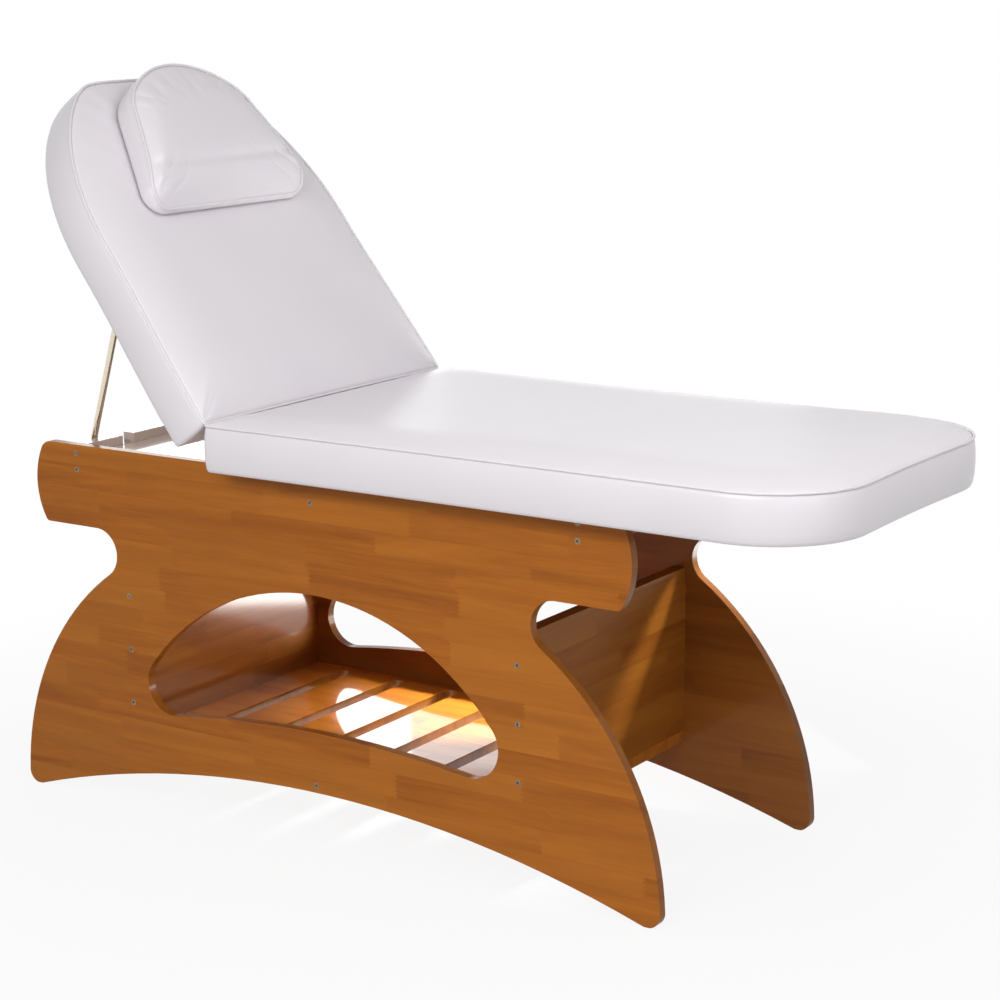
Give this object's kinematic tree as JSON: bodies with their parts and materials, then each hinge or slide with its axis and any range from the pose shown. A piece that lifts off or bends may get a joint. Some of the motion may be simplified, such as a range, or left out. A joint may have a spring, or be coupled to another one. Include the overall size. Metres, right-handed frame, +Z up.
{
  "type": "spa bed",
  "caption": "Spa treatment bed with white padded seat, raised hinged backrest and pillow on an open wooden base with curved side panels and a slotted shelf.",
  "frame": {"origin": "on the floor, under the middle of the whole bed's length and width, with the backrest raised", "axes": "+X from the head end towards the foot end, +Y to the left of someone lying on it, +Z up"},
  "size_m": [1.6796, 0.7, 1.3349],
  "materials": {
    "stained_wood": "glossy orange-brown lacquer over finger-jointed hardwood",
    "inner_wood": "glossy brown lacquer",
    "platform_ply": "satin lacquered plywood",
    "cushion_ply": "raw plywood",
    "foam": "matt upholstery foam",
    "white_cover": "satin white upholstery vinyl",
    "lining_cloth": "matt non-woven lining",
    "hook_and_loop": "matt woven strip",
    "prop_steel": "bright plated round bar",
    "bracket_steel": "zinc plated",
    "screw_steel": "bright zinc plated"
  },
  "bodies": {
    "base": {"side_panel_right": "stained_wood", "side_panel_left": "stained_wood", "cross_panel_head": "inner_wood", "cross_panel_foot": "inner_wood", "slotted_shelf": "inner_wood", "shelf_bearer": "inner_wood", "shelf_screws": "screw_steel", "top_rail_head": "inner_wood", "top_rail_middle": "inner_wood", "top_rail_foot": "inner_wood", "platform_board": "platform_ply", "platform_cleats": "inner_wood", "platform_screws": "screw_steel", "panel_screws": "screw_steel", "seat_board": "cushion_ply", "seat_foam": "foam", "seat_cushion": "white_cover", "seat_lining": "lining_cloth", "seat_brackets": "bracket_steel", "seat_bracket_screws": "screw_steel", "hinge_seat_leaves": "bracket_steel", "hinge_seat_screws": "screw_steel", "prop_brackets": "bracket_steel", "prop_bracket_screws": "screw_steel"},
    "backrest": {"backrest_board": "cushion_ply", "backrest_foam": "foam", "backrest_cushion": "white_cover", "backrest_lining": "lining_cloth", "hinge_back_leaves": "bracket_steel", "hinge_back_screws": "screw_steel", "hinge_pins": "bracket_steel", "prop_racks": "inner_wood", "rack_screws": "screw_steel", "loop_strips": "hook_and_loop"},
    "prop": {"prop_bail": "prop_steel"},
    "pillow": {"pillow_cushion": "white_cover", "pillow_foam": "foam", "pillow_back": "lining_cloth", "hook_strips": "hook_and_loop"}
  },
  "joints": [
    {"name": "backrest_hinge", "type": "hinge", "parent": "base", "child": "backrest", "pos_m": [-0.32217, 0, 0.74], "axis": [0, 1, 0], "range_deg": [-53, 0]},
    {"name": "prop_swing", "type": "hinge", "parent": "base", "child": "prop", "pos_m": [-0.70917, 0, 0.655], "axis": [0, 1, 0], "range_deg": [-197.01, 0]},
    {"name": "pillow_lift", "type": "slide", "parent": "backrest", "child": "pillow", "axis": [0.7986, 0, 0.6018], "range_m": [0, 0.12]}
  ],
  "couplings": [
    {"joint": "prop_swing", "follows": "backrest_hinge", "ratio": 3.717}
  ]
}
